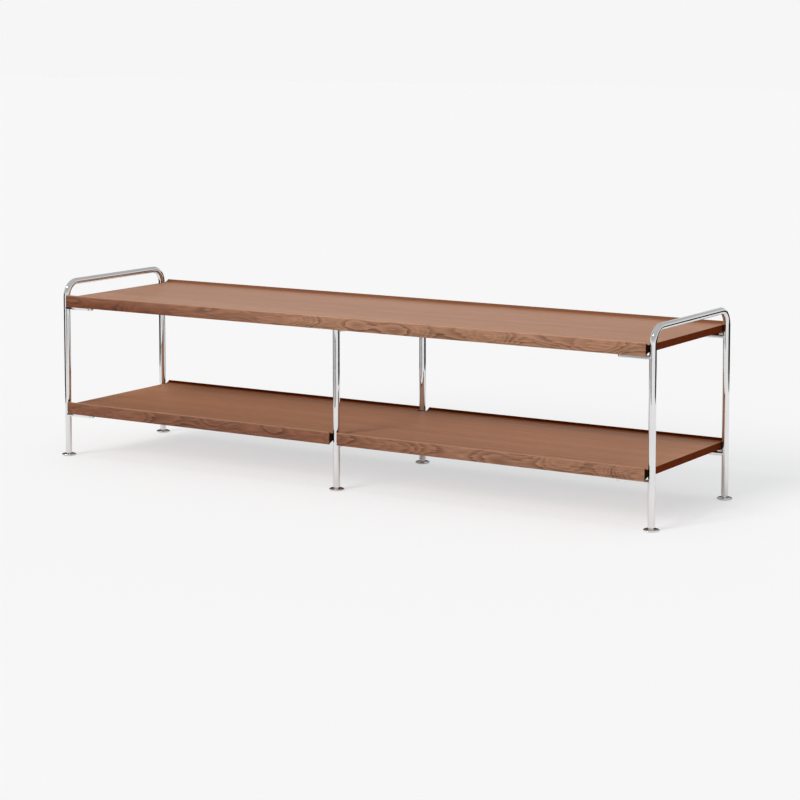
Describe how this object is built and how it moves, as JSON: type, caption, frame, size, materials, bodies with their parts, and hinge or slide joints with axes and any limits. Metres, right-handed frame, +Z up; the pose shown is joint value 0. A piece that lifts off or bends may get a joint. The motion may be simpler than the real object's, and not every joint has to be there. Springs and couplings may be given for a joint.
{
  "type": "tv console",
  "caption": "Low open console with a long wooden tray shelf above another, on bent chromed tube end frames and straight middle legs with levelling feet; carries a television.",
  "frame": {"origin": "on the floor, under the middle of the console", "axes": "+X along the shelves, to the right as seen from the front; +Y to the rear; +Z up"},
  "size_m": [1.655, 0.419, 0.446],
  "materials": {
    "wood": "satin",
    "chrome": "polished",
    "steel": "satin",
    "rubber": "matt",
    "plastic": "matt"
  },
  "bodies": {
    "console": {"end_frame_left": "chrome", "end_frame_right": "chrome", "mid_leg_front": "chrome", "mid_leg_rear": "chrome", "top_panel": "wood", "lower_panel": "wood", "top_front_edge": "wood", "lower_front_edge_left": "wood", "lower_front_edge_right": "wood", "top_rear_edge": "wood", "lower_rear_edge_left": "wood", "lower_rear_edge_right": "wood", "tab_top_front_left": "chrome", "pad_top_front_left": "rubber", "tab_top_front_mid": "chrome", "pad_top_front_mid": "rubber", "tab_top_front_right": "chrome", "pad_top_front_right": "rubber", "tab_top_rear_left": "chrome", "pad_top_rear_left": "rubber", "tab_top_rear_mid": "chrome", "pad_top_rear_mid": "rubber", "tab_top_rear_right": "chrome", "pad_top_rear_right": "rubber", "tab_lower_front_left": "chrome", "pad_lower_front_left": "rubber", "tab_lower_front_mid": "chrome", "pad_lower_front_mid": "rubber", "tab_lower_front_right": "chrome", "pad_lower_front_right": "rubber", "tab_lower_rear_left": "chrome", "pad_lower_rear_left": "rubber", "tab_lower_rear_mid": "chrome", "pad_lower_rear_mid": "rubber", "tab_lower_rear_right": "chrome", "pad_lower_rear_right": "rubber", "insert_front_left": "steel", "insert_front_mid": "steel", "insert_front_right": "steel", "insert_rear_left": "steel", "insert_rear_mid": "steel", "insert_rear_right": "steel"},
    "foot_front_left": {"foot_front_left": "chrome", "glide_front_left": "plastic"},
    "foot_front_mid": {"foot_front_mid": "chrome", "glide_front_mid": "plastic"},
    "foot_front_right": {"foot_front_right": "chrome", "glide_front_right": "plastic"},
    "foot_rear_left": {"foot_rear_left": "chrome", "glide_rear_left": "plastic"},
    "foot_rear_mid": {"foot_rear_mid": "chrome", "glide_rear_mid": "plastic"},
    "foot_rear_right": {"foot_rear_right": "chrome", "glide_rear_right": "plastic"}
  },
  "joints": [
    {"name": "level_front_left", "type": "slide", "parent": "console", "child": "foot_front_left", "axis": [0, 0, -1], "range_m": [0, 0.008]},
    {"name": "level_front_mid", "type": "slide", "parent": "console", "child": "foot_front_mid", "axis": [0, 0, -1], "range_m": [0, 0.008]},
    {"name": "level_front_right", "type": "slide", "parent": "console", "child": "foot_front_right", "axis": [0, 0, -1], "range_m": [0, 0.008]},
    {"name": "level_rear_left", "type": "slide", "parent": "console", "child": "foot_rear_left", "axis": [0, 0, -1], "range_m": [0, 0.008]},
    {"name": "level_rear_mid", "type": "slide", "parent": "console", "child": "foot_rear_mid", "axis": [0, 0, -1], "range_m": [0, 0.008]},
    {"name": "level_rear_right", "type": "slide", "parent": "console", "child": "foot_rear_right", "axis": [0, 0, -1], "range_m": [0, 0.008]}
  ]
}
